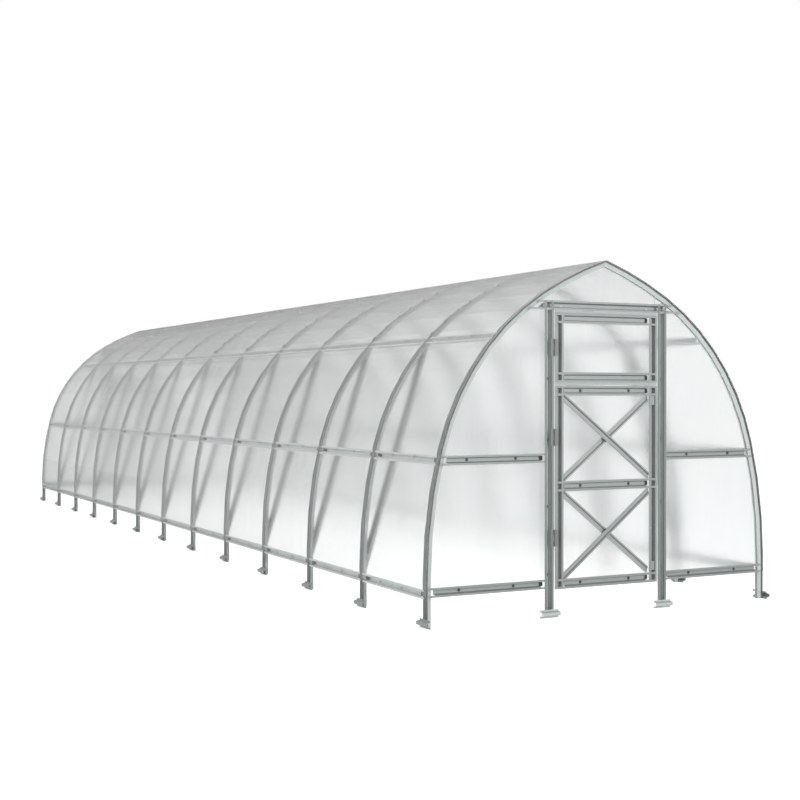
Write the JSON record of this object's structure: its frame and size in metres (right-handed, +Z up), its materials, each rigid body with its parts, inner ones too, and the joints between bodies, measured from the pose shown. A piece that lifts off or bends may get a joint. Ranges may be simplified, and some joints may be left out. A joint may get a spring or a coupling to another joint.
{
  "type": "greenhouse",
  "caption": "Long tunnel greenhouse with pointed steel arches, translucent cover sheets, and a hinged cross-braced door under a fixed window in the gable.",
  "frame": {"origin": "on the ground, under the middle of the house", "axes": "+Y along the house towards the rear gable, so the gable whose door opens faces -Y; +Z up"},
  "size_m": [2.99, 12.155, 2.5394],
  "materials": {
    "galvanised_steel": "dull galvanised",
    "cover_sheet": "translucent ribbed sheet"
  },
  "bodies": {
    "greenhouse": {"arch_01": "galvanised_steel", "arch_02": "galvanised_steel", "arch_03": "galvanised_steel", "arch_04": "galvanised_steel", "arch_05": "galvanised_steel", "arch_06": "galvanised_steel", "arch_07": "galvanised_steel", "arch_08": "galvanised_steel", "arch_09": "galvanised_steel", "arch_10": "galvanised_steel", "arch_11": "galvanised_steel", "arch_12": "galvanised_steel", "arch_13": "galvanised_steel", "arch_feet": "galvanised_steel", "base_rails": "galvanised_steel", "cover_sheet_1": "cover_sheet", "cover_sheet_2": "cover_sheet", "cover_sheet_3": "cover_sheet", "cover_sheet_4": "cover_sheet", "cover_sheet_5": "cover_sheet", "cover_sheet_6": "cover_sheet", "front_door_hinge_posts": "galvanised_steel", "front_gable_posts": "galvanised_steel", "front_gable_rails": "galvanised_steel", "front_gable_sheets": "cover_sheet", "front_window_frame": "galvanised_steel", "front_window_hinge": "galvanised_steel", "front_window_sheet": "cover_sheet", "mid_rails": "galvanised_steel", "post_feet": "galvanised_steel", "rear_door_braces": "galvanised_steel", "rear_door_frame": "galvanised_steel", "rear_door_sheet": "cover_sheet", "rear_gable_posts": "galvanised_steel", "rear_gable_rails": "galvanised_steel", "rear_gable_sheets": "cover_sheet", "rear_hinges": "galvanised_steel", "rear_window_frame": "galvanised_steel", "rear_window_sheet": "cover_sheet", "struts": "galvanised_steel", "upper_rails": "galvanised_steel"},
    "front_door": {"front_door_braces": "galvanised_steel", "front_door_frame": "galvanised_steel", "front_door_hinge_leaves": "galvanised_steel", "front_door_sheet": "cover_sheet"}
  },
  "joints": [
    {"name": "front_door_hinge", "type": "hinge", "parent": "greenhouse", "child": "front_door", "pos_m": [-0.452, -6.0424, 0.915], "axis": [0, 0, -1], "range_deg": [0, 165]}
  ]
}
